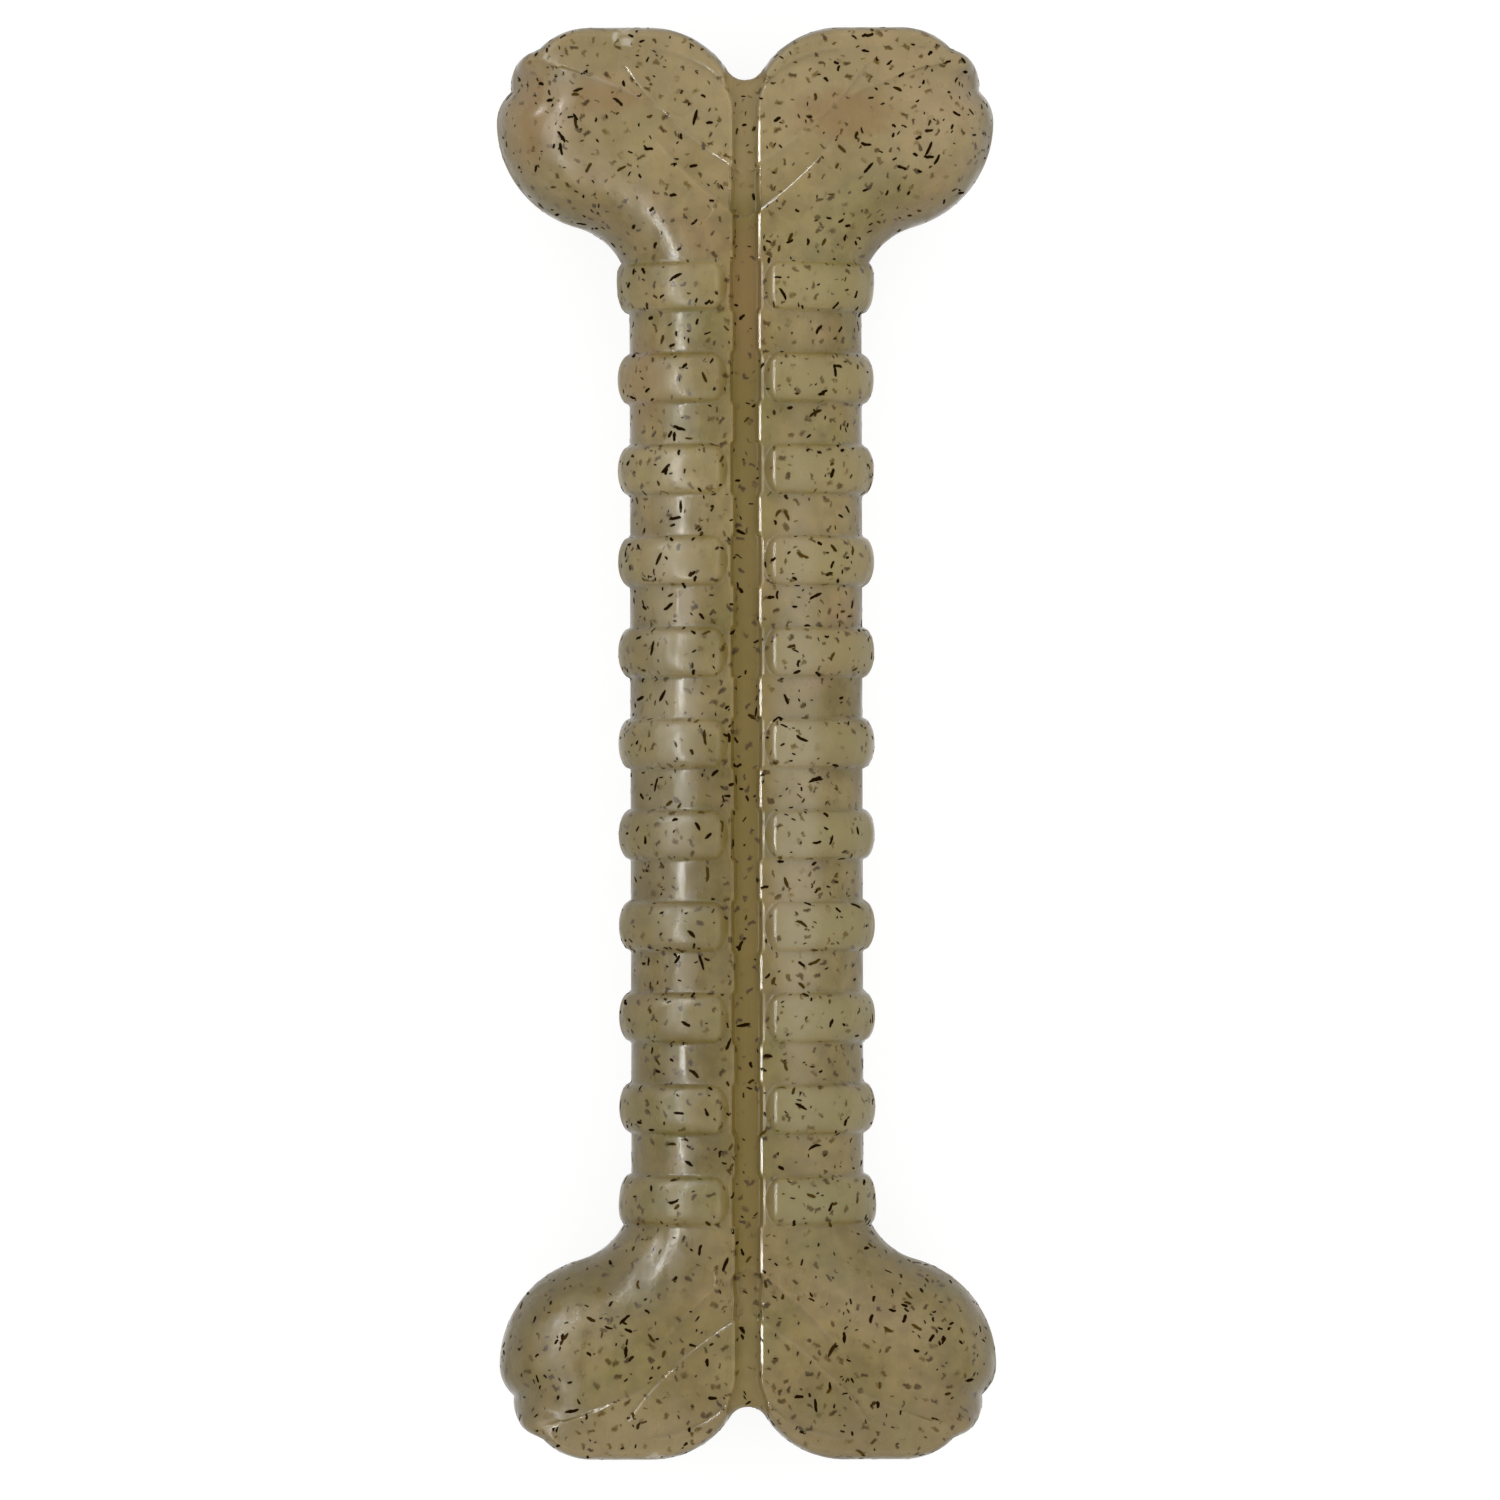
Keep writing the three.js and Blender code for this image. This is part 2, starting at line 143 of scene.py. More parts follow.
# Flecks that lie in the surface.
FLECKS_PER_SQUARE = 0.14
FLECK_LENGTHS = (0.35, 2.1)
FLECK_TYPICAL_LENGTH = 0.62
FLECK_LENGTH_SPREAD = 0.42
FLECK_WIDTHS = (0.2, 0.46)
FLECK_SLIMNESS = (0.28, 0.6)
FLECK_BEND = 0.05
FLECK_PROUD = 0.025
FLECK_DEPTH = 0.12
FLECK_STATIONS = (-1.0, -0.7, -0.25, 0.25, 0.7, 1.0)
FLECK_TAPER = 0.7
FLECK_TAPER_POWER = 5
FLECK_RAGGED = (0.6, 1.15)

# Flecks that lie under the surface, one at most in each cell.
DEEP_FLECK_CELL = 1.75
DEEP_FLECK_LENGTH = 1.4
DEEP_FLECK_WIDTH = 0.66
DEEP_FLECKS_SHOWN = 0.9
DEEP_FLECK_SIZES = (0.4, 1.0)
DEEP_FLECK_SPREAD = 0.3  # how much wider a fleck looks for each millimetre of its depth
DEEP_FLECK_BEND = 0.9
DEEP_FLECK_RAGGED = 1.6  # fineness of its ragged bends
DEEP_FLECK_CORE = 0.2  # share of its width that is solid
DEEP_FLECK_SOLID = 0.4  # share of its length that is solid
DEEP_FLECK_STRENGTH = 0.9

# Finishes: how rough the nylon is, its relief in millimetres, how light passes through it, and the fibre.
POLISHED = 0.12  # roughness of worn edges
ROUGHNESS = (0.16, 0.42)
RIB_ROUGHER = 0.08
CHANNEL_ROUGHER = 0.25
KNUCKLE_ROUGHER = 0.04
GRAIN_HEIGHT = 0.005
WAVE_HEIGHT = 0.035
STREAK_HEIGHT = 0.012
NYLON_IOR = 1.53
NYLON_SPECULAR = 0.38
SUBSURFACE_SHARE = 0.4
SUBSURFACE_RADIUS = (1.0, 0.7, 0.3)
SUBSURFACE_SCALE = 2.0
FIBRE_ROUGHNESS = 0.4

# Colours, as shares of red, green and blue light.
BROWN = (0.185, 0.136, 0.036, 1)
TAN = (0.285, 0.215, 0.084, 1)
ROSE = (0.315, 0.205, 0.095, 1)
OLIVE = (0.215, 0.182, 0.054, 1)
# Painted light on the ribs: paler colours that stand in for the light their thick nylon and rims catch.
LIT_RIB_PALE = (0.285, 0.23, 0.096, 1)
LIT_RIB_OLIVE = (0.27, 0.235, 0.1, 1)
# Painted shade on steep sides.
SIDE_SHADE_BROWN = (0.11, 0.075, 0.008, 1)
FAR_TONE = (0.34, 0.26, 0.145, 1)
# The channel's own brown, which also carries painted shade in the channel, up the inner ends of the ribs and
# in the grooves.
CHANNEL_BROWN_AND_SHADE = (0.178, 0.12, 0.016, 1)
DEEP_FLECK = (0.03, 0.012, 0.0, 1)
FLECK_STAIN = (0.8, 0.68, 0.2, 1)
CLOUD_STAIN = (0.25, 0.14, 0.045, 1)
# Paler strips of the shaft: partly scuffs, partly a painted highlight.
SCUFF_AND_SHEEN = (0.42, 0.37, 0.27, 1)
WHITENED = (0.6, 0.56, 0.48, 1)
FIBRE_DARK = (0.013, 0.005, 0.0003, 1)
FIBRE_BROWN = (0.075, 0.042, 0.006, 1)

# Patches of another colour: whitened marks where the nylon ran into the mould, reddish clouds, and paler
# strips along both sides of the shaft that are partly scuffs and partly a painted highlight.
PATCHES = (
    Patch((-15.4, 91.3, 18.0), (1.8, 1.0, 9.0), WHITENED, 1.6, 0.5, 0.5),
    Patch((-16.6, 90.4, 20.0), (0.6, 1.2, 8.0), WHITENED, 1.6, 0.5, 0.5),
    Patch((-15.1, 89.8, 22.0), (1.2, 0.8, 6.0), WHITENED, 1.6, 0.5, 0.5),
    Patch((-12.0, -91.3, 18.0), (1.8, 1.0, 9.0), WHITENED, 1.6, 0.5, 0.5),
    Patch((-27.5, 80.0, 19.0), (2.6, 6.0, 8.0), CLOUD_STAIN, 0.5, 1.0, 0.45),
    Patch((13.0, 80.6, 25.0), (5.5, 2.6, 6.0), CLOUD_STAIN, 0.5, 1.0, 0.5),
    Patch((-19.0, 82.6, 25.0), (5.5, 1.6, 6.0), CLOUD_STAIN, 0.5, 1.0, 0.4),
    Patch((0.0, 58.0, 20.0), (2.6, 8.0, 6.0), CLOUD_STAIN, 0.5, 1.0, 0.4),
    Patch((-13.0, 47.0, 16.0), (3.0, 6.0, 8.0), CLOUD_STAIN, 0.5, 1.0, 0.4),
    # Paler strips along the shaft where its broad highlights lie: partly scuffs, partly painted highlight.
    Patch((6.2, -6.0, 22.0), (2.6, 34.0, 6.0), SCUFF_AND_SHEEN, 1.0, 1.0, 0.3),
    Patch((-9.5, 4.0, 20.0), (3.0, 30.0, 6.0), SCUFF_AND_SHEEN, 1.0, 1.0, 0.2),
)
PATCH_RAGGED = 0.8

# Where along the bone the colours and the finish change.
FAR_TONE_FADE = (66, 82)
NEAR_TIP_FADE = (-80, -90)
# Where the painted shade between the ribs fades out on the knuckles.
GAP_SHADE_FADE = (78, 68)
CHANNEL_FADE = (62, 76)
CHANNEL_FADED = 0.7
CHANNEL_SHADE_SHARES = (0.85, 0.45)  # share of the channel's brown and painted shade on the shaft and on the knuckles
KNUCKLE_FADE = (70, 78)

# Slim lamps that draw the highlights and nothing else: a near one along the left side and a far one behind
# it on the left. Each is aimed at the top of the bone.
SIDE_LAMP = Lamp(180.0, 34.6, 128.0, 240.0, 4.2)
BACK_LAMP = Lamp(140.0, 18.0, 1500.0, 700.0, 42.0)
LAMP_GLOW = 50.0

# Light from all round: its level, what is left of it at the ground and overhead, and how it leans.
SURROUND_LEVEL = 1.32
GROUND_SHARE = 0.38
OVERHEAD_SHARE = 0.5
LEAN_FAR = 0.06
LEAN_RIGHT = 0.12

# The floor and the camera, which looks straight down with a long lens.
FLOOR_SIDE = 6000.0
FLOOR_GREY = 0.2
FLOOR_GLOW = 0.87
FLOOR_BOUNCE = 0.6  # grey of the floor in the light that it throws back
PHOTO_SIDE = 1500
PIXEL = 0.1293
BONE_MIDDLE_PIXEL = (746.5, 743.5)
CAMERA_HEIGHT = 1300.0
CAMERA_ROLL = -0.13
CAMERA_REACH = 10000.0

# Places that follow from the sizes above.
HALF_LENGTH = LENGTH / 2
HALF_SPAN = KNUCKLE_SPAN / 2
HALF_SHAFT = SHAFT_WIDTH / 2
MID_HEIGHT = KNUCKLE_THICKNESS / 2
CHANNEL_EDGE = CHANNEL_WIDTH / 2
WIDEST_Y = HALF_LENGTH - KNUCKLE_SETBACK
NOTCH_Y = HALF_LENGTH - NOTCH_DEPTH
LAST_RIB_END = RIBS_EACH_WAY * RIB_PITCH + RIB_WIDTH / 2

KNUCKLE = Circle(HALF_SPAN - KNUCKLE_RADIUS, WIDEST_Y, KNUCKLE_RADIUS)
SHOULDER = Circle(HALF_SPAN - SHOULDER_RADIUS, WIDEST_Y, SHOULDER_RADIUS)
FINGER = Circle(HALF_SPAN - FINGER_INSET - FINGER_RADIUS, HALF_LENGTH - FINGER_SETBACK, FINGER_RADIUS)
TIP = Circle(HALF_SPAN - TIP_INSET - TIP_RADIUS, HALF_LENGTH - TIP_RADIUS, TIP_RADIUS)
NOTCH = Circle(0.0, NOTCH_Y + NOTCH_RADIUS, NOTCH_RADIUS)
INNER_Y = HALF_LENGTH - INNER_RADIUS
INNER = Circle(
    math.sqrt((INNER_RADIUS + NOTCH_RADIUS) ** 2 - (NOTCH.y - INNER_Y) ** 2), INNER_Y, INNER_RADIUS
)
NOTCH_MEETS_INNER_Y = NOTCH.y + (INNER.y - NOTCH.y) * NOTCH.r / (NOTCH.r + INNER.r)
FLARE_X = HALF_SHAFT + FLARE_RADIUS
FLARE_REACH = KNUCKLE_RADIUS + FLARE_RADIUS
FLARE = Circle(
    FLARE_X, WIDEST_Y - math.sqrt(FLARE_REACH**2 - (FLARE_X - KNUCKLE.x) ** 2), FLARE_RADIUS
)
FLARE_END_Y = FLARE.y + (WIDEST_Y - FLARE.y) * FLARE_RADIUS / FLARE_REACH

# Grooves between the fingers of a knuckle. Each has a wall on one side (1 towards the end of the bone, -1
# away from it) and a long soft slope on the other, and fades to a share of its depth at its start and its
# end. The wall is worn to a polish, more at one end of the bone than at the other.
GROOVE_STEPS = 40
GROOVE_FADE = 0.4
GROOVE_WALL_CURVE = 0.13  # how much steeper a wall is at its foot, and flatter at its top, than on average
GROOVE_SHADE = 1.1  # share of painted shade, in the channel's brown, in a groove, for each millimetre of its depth
GROOVES = (
    Groove((1.5, 73.7), (6.84, 76.88), (10.78, 80.9), 1, 0.45, 4.0, 0.27, 1.0, 1.0, 0.92, 0.92),
    Groove((10.78, 80.9), (13.4, 83.56), (15.4, 86.6), 1, 0.45, 1.0, 0.257, 1.0, 1.0, 0.92, 0.25),
    Groove((10.6, 80.9), (14.5, 83.6), (23.5, 86.5), 1, 0.45, 4.0, 0.3, 1.0, 1.0, 0.0, 1.0),
    Groove((3.3, 85.2), (5.6, 87.6), (11.4, 88.8), 1, 0.5, 1.6, 0.36, 1.0, 0.8, 0.4, 0.8),
    Groove((11.4, 88.8), (20.0, 89.6), (27.6, 88.8), 1, 0.8, 1.2, 0.06, 0.5, 1.0, 0.0, 0.0),
    Groove((1.5, 68.3), (7.5, 72.6), (11.6, 77.8), -1, 0.45, 4.0, 0.39, 1.0, 0.5, 0.92, 0.5),
    Groove((11.6, 77.8), (17.0, 80.6), (28.0, 81.4), -1, 1.6, 3.0, 0.14, 0.6, 0.0, 0.0, 0.0),
)


def smooth_step(value, start, end):
    """0 before start, 1 after end and a smooth change between."""
    share = np.clip((value - start) / (end - start), 0, 1)
    return share * share * (3 - 2 * share)


def half_chord(circle, y):
    return np.sqrt(np.maximum(0, circle.r**2 - (y - circle.y) ** 2))


def lobe_side(circle, y):
    """Outer side of a circle, or 0 where the circle doesn't reach."""
    return np.where(np.abs(y - circle.y) <= circle.r + TINY, circle.x + half_chord(circle, y), 0)


def outer_x(y):
    """The bone's outer side at a distance y from its middle."""
    return np.select(
        [y <= FLARE.y, y <= FLARE_END_Y, y <= WIDEST_Y],
        [HALF_SHAFT + 0 * y, FLARE.x - half_chord(FLARE, y), lobe_side(KNUCKLE, y)],
        np.max([lobe_side(circle, y) for circle in (SHOULDER, FINGER, TIP)], axis=0),
    )


def inner_x(y):
    """The side of the end notch, or the middle line where the two halves are one."""
    return np.select(
        [y <= NOTCH_Y, y <= NOTCH_MEETS_INNER_Y],
        [0 * y, half_chord(NOTCH, y)],
        INNER.x - half_chord(INNER, y),
    )


def outline():
    """One quarter of the outline, from the bottom of the notch round to the middle of the shaft, and how
    many times a distance from each of its points counts, so that the bone is rounded more sharply at
    its end."""
    turn = np.sin(np.linspace(0, math.pi / 2, OUTLINE_STEPS))
    notch_y = NOTCH_Y + NOTCH_DEPTH * turn
    side_y = HALF_LENGTH * turn[::-1]
    notch_side = np.column_stack([inner_x(notch_y), notch_y])
    outer_side = np.column_stack([outer_x(side_y), side_y])
    near_end = np.concatenate([np.ones(OUTLINE_STEPS), smooth_step(side_y, FINGER.y, HALF_LENGTH)])
    return np.concatenate([notch_side, outer_side]), 1 + (KNUCKLE_ROUNDING / END_ROUNDING - 1) * near_end


def follow(x, y, line, weights=None):
    """How far points lie from a line, on which side (1 left, -1 right) and how far along it (0 to 1). Where
    weights are given, distances from each part of the line count that many times."""
    nearest = np.full(x.shape, np.inf)
    side = np.zeros(x.shape)
    along = np.zeros(x.shape)
    for i, (start, end) in enumerate(zip(line[:-1], line[1:])):
        way_x, way_y = end - start
        share = np.clip(((x - start[0]) * way_x + (y - start[1]) * way_y) / (way_x**2 + way_y**2), 0, 1)
        away_x = x - start[0] - share * way_x
        away_y = y - start[1] - share * way_y
        distance = np.hypot(away_x, away_y) * (1 if weights is None else weights[i])
        closer = distance < nearest
        nearest = np.where(closer, distance, nearest)
        side = np.where(closer, np.sign(way_x * away_y - way_y * away_x), side)
        along = np.where(closer, (i + share) / (len(line) - 1), along)
    return nearest, side, along


def blurred(field, width):
    reach = math.ceil(3 * width / GRID_STEP)
    offsets = np.arange(-reach, reach + 1) * GRID_STEP
    weights = np.exp(-0.5 * (offsets / width) ** 2)
    weights /= weights.sum()
    for axis in (0, 1):
        padding = [(0, 0), (0, 0)]
        padding[axis] = (reach, reach)
        padded = np.pad(field, padding, mode="edge")
        size = field.shape[axis]
        field = sum(
            weight * np.take(padded, range(i, i + size), axis) for i, weight in enumerate(weights)
        )
    return field


def ridge_excess():
    """How far the depth inside the outline stands above a softened copy of it, on an even grid."""
    xs = np.arange(-GRID_MARGIN, HALF_SPAN + GRID_MARGIN, GRID_STEP)
    ys = np.arange(-GRID_MARGIN, HALF_LENGTH + GRID_MARGIN, GRID_STEP)
    y, x = np.meshgrid(np.abs(ys), np.abs(xs), indexing="ij")
    inside = (x >= inner_x(y)) & (x < outer_x(y)) & (y < HALF_LENGTH)
    distance = follow(x, y, *outline())[0]
    depth = np.where(inside, distance, -distance)
    layers = [depth] + [blurred(depth, width) for width in BLUR_WIDTHS[1:]]
    level = np.interp(BLUR_SHARE * depth, BLUR_WIDTHS, range(len(BLUR_WIDTHS)))
    softened = sum(layer * np.clip(1 - np.abs(level - i), 0, 1) for i, layer in enumerate(layers))
    return depth - softened


def between_grid_points(field, x, y):
    """The grid's value at points of the plan, taken evenly between the grid's own points."""
    column = (x + GRID_MARGIN) / GRID_STEP
    row = (y + GRID_MARGIN) / GRID_STEP
    i = np.floor(row).astype(int)
    j = np.floor(column).astype(int)
    v = row - i
    u = column - j
    lower = field[i, j] * (1 - u) + field[i, j + 1] * u
    upper = field[i + 1, j] * (1 - u) + field[i + 1, j + 1] * u
    return lower * (1 - v) + upper * v


def end_share(x, y):
    """How much a place belongs to the end of the bone or to its notch: 0 to 1."""
    beside_notch = 1 - smooth_step(x / INNER.x, 1, NOTCH_SHARE_END)
    near_notch = beside_notch * smooth_step(y, NOTCH_Y - NOTCH_APPROACH, NOTCH_Y)
    return np.maximum(smooth_step(y, FINGER.y, HALF_LENGTH), near_notch)


def face_height(x, y):
    """Height of the smooth face above the middle plane: a rounded edge that runs into a soft crown."""
    distance = follow(x, y, *outline())[0]
    depth = np.maximum(distance - between_grid_points(ridge_excess(), x, y), distance / 2)
    knuckle_share = smooth_step(y, FLARE.y, WIDEST_Y)
    width = HALF_SHAFT + (KNUCKLE_ROUNDING - HALF_SHAFT) * knuckle_share
    crown = SHAFT_THICKNESS / 2 + (MID_HEIGHT - SHAFT_THICKNESS / 2) * knuckle_share
    power = SIDE_POWER + (END_POWER - SIDE_POWER) * end_share(x, y)
    fall = 1 - np.clip(depth / width, 0, 1)
    return crown * (1 - fall**power) ** (1 / power)


def beside_crest(y):
    """How far a place lies to the side of its rib's crest: 0 on the crest and 1 at the foot and beyond."""
    aside = np.abs(y - RIB_PITCH * np.round(y / RIB_PITCH)) / (RIB_WIDTH / 2)
    return np.where(y < LAST_RIB_END, np.minimum(aside, 1), 1)


def into_rib_end(x, y):
    """How far a place lies inside the foot of its rib's inner end, whose corners are round."""
    corner = RIB_CORNER * (1 - (1 - beside_crest(y) ** RIB_CORNER_POWER) ** (1 / RIB_CORNER_POWER))
    return x - RIB_INNER_END - corner


def rib_share(x, y):
    """How much of a rib's height stands at a place: a dome with a steep end that has a worn edge."""
    aside = beside_crest(y)
    dome = (1 - aside**RIB_DOME_POWER) ** RIB_DOME_ROOT * smooth_step(1 - aside, 0, RIB_FOOT)
    runs = (0, RIB_WALL_RUN, RIB_WALL_RUN + RIB_CHAMFER)
    drop = np.interp(into_rib_end(x, y), runs, (RIB_HEIGHT, RIB_CHAMFER_DROP, 0))
    return np.maximum(dome - drop / RIB_HEIGHT, 0)


def inside_channel(x, y):
    """How far a place lies inside the edge of the channel, which runs out to the feet of the ribs."""
    flare = CHANNEL_FLARE * smooth_step(y, NOTCH_Y - CHANNEL_FLARE_RUN, NOTCH_Y)
    bay = (RIB_INNER_END - CHANNEL_EDGE) * smooth_step(1 - beside_crest(y), 0, RIB_FOOT)
    return CHANNEL_EDGE + flare + bay - x


def channel_cut(x, y):
    """How deep the channel is at a place."""
    inside = inside_channel(x, y)
    on_knuckle = smooth_step(y, FLARE.y, LAST_RIB_END)
    bevel_drop = CHANNEL_BEVEL_DROP + (KNUCKLE_BEVEL_DROP - CHANNEL_BEVEL_DROP) * on_knuckle
    down_bevel = np.clip(inside / CHANNEL_BEVEL, 0, 1)
    down_wall = np.clip((inside - CHANNEL_BEVEL) / CHANNEL_WALL_RUN, 0, 1)
    return bevel_drop * down_bevel + (CHANNEL_DEPTH - bevel_drop) * down_wall


def curve_points(start, bend, end):
    share = np.linspace(0, 1, GROOVE_STEPS)[:, None]
    from_start = (1 - share) ** 2 * np.array(start)
    towards_bend = 2 * share * (1 - share) * np.array(bend)
    return from_start + towards_bend + share**2 * np.array(end)


def groove_cut(x, y, far):
    """How deep the grooves of a knuckle are at a place, and how polished, at the far end or the near one."""
    cut = np.zeros(x.shape)
    polish = np.zeros(x.shape)
    for groove in GROOVES:
        distance, side, along = follow(x, y, curve_points(groove.start, groove.bend, groove.end))
        on_wall = side == groove.wall_side
        fade = groove.start_share + (1 - groove.start_share) * smooth_step(along, 0, GROOVE_FADE)
        fade *= groove.end_share + (1 - groove.end_share) * (1 - smooth_step(along, 1 - GROOVE_FADE, 1))
        up_wall = np.clip(distance / groove.wall, 0, 1)
        up_wall += GROOVE_WALL_CURVE * up_wall * (1 - up_wall)
        up_slope = smooth_step(distance, 0, groove.slope)
        share = fade * (1 - np.where(on_wall, up_wall, up_slope))
        cut = np.maximum(cut, groove.depth * share)
        worn = fade * np.where(far, groove.far_polish, groove.near_polish)
        polish = np.maximum(polish, np.where(on_wall & (distance < groove.wall), worn, 0))
    return cut, polish


def from_pin(x, y):
    """How far a place lies from the middle of the nearest pin mark."""
    return np.min([np.hypot(x - px, y - py) for px, py in PIN_PLACES], axis=0)


def near_crisp_mark(x, y):
    """Whether a place is close to the rim of a pin mark or to a groove with a crisp wall."""
    near = np.abs(from_pin(x, y) - PIN_RADIUS) < FINE_REACH
    for groove in GROOVES:
        if groove.near_polish:
            near |= follow(x, y, curve_points(groove.start, groove.bend, groove.end))[0] < FINE_REACH
    return near


def row_places():
    """Where the rows of points lie, from the middle of the bone to its end, closer at notch and end."""
    even = np.arange(0, NOTCH_Y - NOTCH_APPROACH, ROW_STEP)
    approach = NOTCH_Y - NOTCH_APPROACH * (1 - np.sin(np.linspace(0, math.pi / 2, NOTCH_APPROACH_ROWS)))
    end = NOTCH_Y + NOTCH_DEPTH * (1 - np.cos(np.linspace(0, math.pi, END_ROWS))) / 2
    return np.unique(np.concatenate([even, approach, end]))


def near_columns():
    """Where the columns beside the channel lie, closest at its edges and at the ends of the ribs."""
    chamfer = RIB_INNER_END + RIB_WALL_RUN
    bevel = CHANNEL_EDGE - CHANNEL_BEVEL
    edges = (bevel - CHANNEL_WALL_RUN, bevel, CHANNEL_EDGE, RIB_INNER_END, chamfer, chamfer + RIB_CHAMFER)
    crisp = [edge + aside for edge in edges for aside in EDGE_COLUMNS]
    stops = [0, *crisp, NEAR_BAND]
    columns = []
    for start, end in zip(stops, stops[1:]):
        columns.extend(np.linspace(start, end, math.ceil((end - start) / NEAR_STEP), endpoint=False))
    return np.array([*columns, NEAR_BAND])


def column_places(y):
    """Where the points of each row lie, from the middle line or the notch to the side."""
    start = inner_x(y)
    width = outer_x(y) - start
    near = np.minimum(NEAR_BAND, width / 2)
    crowding = 1 + smooth_step(y, NOTCH_Y - NOTCH_APPROACH, NOTCH_Y)
    near_share = near_columns()[None, :] / NEAR_BAND
    even = np.linspace(0, 1, FAR_COLUMNS + 1)[None, 1:]
    far_share = even + (even - even**CROWDING_POWER) / (CROWDING_POWER - 1)
    near_places = start[:, None] + near[:, None] * near_share ** crowding[:, None]
    far_places = (start + near)[:, None] + (width - near)[:, None] * far_share
    return np.concatenate([near_places, far_places], axis=1)


def surface_normals(points, on_middle, on_plane):
    """Outward directions of a grid of points, level on the middle plane and square to the middle lines."""
    along_rows = np.gradient(points, axis=0)
    along_columns = np.gradient(points, axis=1)
    normals = np.cross(along_columns, along_rows)
    normals[on_middle, 0] = 0
    normals[on_plane, 2] = 0
    normals[0, :, 1] = 0
    normals[-1] = (0, 1, 0)
    return normals / np.linalg.norm(normals, axis=2, keepdims=True)


def quarter_surface():
    """Points of the upper right quarter, and what the finish needs to know about each of them."""
    rows = row_places()
    x = column_places(rows)
    y = np.repeat(rows[:, None], x.shape[1], axis=1)
    on_plane = np.zeros(x.shape, bool)
    on_plane[:, -1] = True
    on_plane[-1, :] = True
    on_plane[rows >= NOTCH_Y, 0] = True
    on_middle = np.zeros(x.shape, bool)
    on_middle[rows <= NOTCH_Y, 0] = True
    height = np.where(on_plane, 0, face_height(x, y))
    normals = surface_normals(np.stack([x, y, height], axis=2), on_middle, on_plane)
    rib = rib_share(x, y)
    cut = np.minimum(channel_cut(x, y), height / 2)
    points = np.stack([x, y, height - cut], axis=2) + normals * (RIB_HEIGHT * rib)[:, :, None]
    inside = inside_channel(x, y)
    in_gap = beside_crest(y) >= 1
    bevel = in_gap & (inside > 0) & (inside < CHANNEL_BEVEL)
    up_end = into_rib_end(x, y) - RIB_WALL_RUN
    chamfer = (rib > 0) & (up_end > 0) & (up_end < RIB_CHAMFER)
    wall_foot = CHANNEL_BEVEL + CHANNEL_WALL_RUN
    # The channel's brown and painted shade: across the channel's wall and floor, and up the inner ends of
    # the ribs.
    up_rib_end = smooth_step(inside, -RIB_END_SHADE, CHANNEL_BEVEL)
    tint = np.where(rib > 0, up_rib_end, smooth_step(inside, CHANNEL_BEVEL / 2, wall_foot))
    return points, {"rib_share": rib, "channel_brown_and_shade": tint, "polish": bevel + RIB_END_POLISH * chamfer}


def slow_waves(points):
    """0 to 1 in waves a few centimetres long, different in each quarter of the bone."""
    waves = sum(np.sin(points @ np.array(turns) + start) for *turns, start in SINK_WAVES)
    return (waves / len(SINK_WAVES) + 1) / 2


def smooth_body():
    """The whole bone without its fine marks, as one closed mesh of eight mirrored copies of the quarter."""
    quarter, shares = quarter_surface()
    rows, columns = quarter.shape[:2]
    numbers = np.arange(rows * columns).reshape(rows, columns)
    squares = np.stack(
        [numbers[:-1, :-1], numbers[:-1, 1:], numbers[1:, 1:], numbers[1:, :-1]], axis=2
    ).reshape(-1, 4)
    points = []
    faces = []
    for mirror in np.array(np.meshgrid([1, -1], [1, -1], [1, -1])).T.reshape(-1, 3):
        turned = squares if np.prod(mirror) > 0 else squares[:, ::-1]
        faces.append(turned + len(points) * rows * columns)
        points.append(quarter.reshape(-1, 3) * mirror)
    every_point = np.concatenate(points)
    rounded = np.round(every_point, WELD_DIGITS) + 0.0
    _, first, place = np.unique(rounded, axis=0, return_index=True, return_inverse=True)
    kept = every_point[first]
    kept[:, 2] *= 1 - SINK * slow_waves(kept)
    kept[:, 2] += MID_HEIGHT
    mesh = bpy.data.meshes.new("nylon")
    mesh.from_pydata((kept * MM).tolist(), [], place.ravel()[np.concatenate(faces)].tolist())
    for name, share in shares.items():
        values = np.tile(share.ravel(), len(points))[first]
        mesh.attributes.new(name, "FLOAT", "POINT").data.foreach_set("value", values.astype(np.float32))
    return mesh


def read(items, name, width=3):
    """One value of every item, as rows of numbers."""
    values = np.zeros(len(items) * width)
    items.foreach_get(name, values)
    return values.reshape(-1, width)


def raise_attribute(mesh, name, values):
    """Lifts a value of a mesh's points to new values where those are higher."""
    data = mesh.attributes[name].data
    data.foreach_set("value", np.maximum(read(data, "value", 1).ravel(), values).astype(np.float32))


def cut_finer(mesh, wanted):
    """Cuts the wanted faces of a mesh into small squares."""
    editor = bmesh.new()
    editor.from_mesh(mesh)
    edges = {edge for face, cut in zip(editor.faces, wanted) if cut for edge in face.edges}
    edges = sorted(edges, key=lambda edge: edge.index)
    bmesh.ops.subdivide_edges(editor, edges=edges, cuts=FINE_CUTS, use_grid_fill=True)
    editor.to_mesh(mesh)
    editor.free()


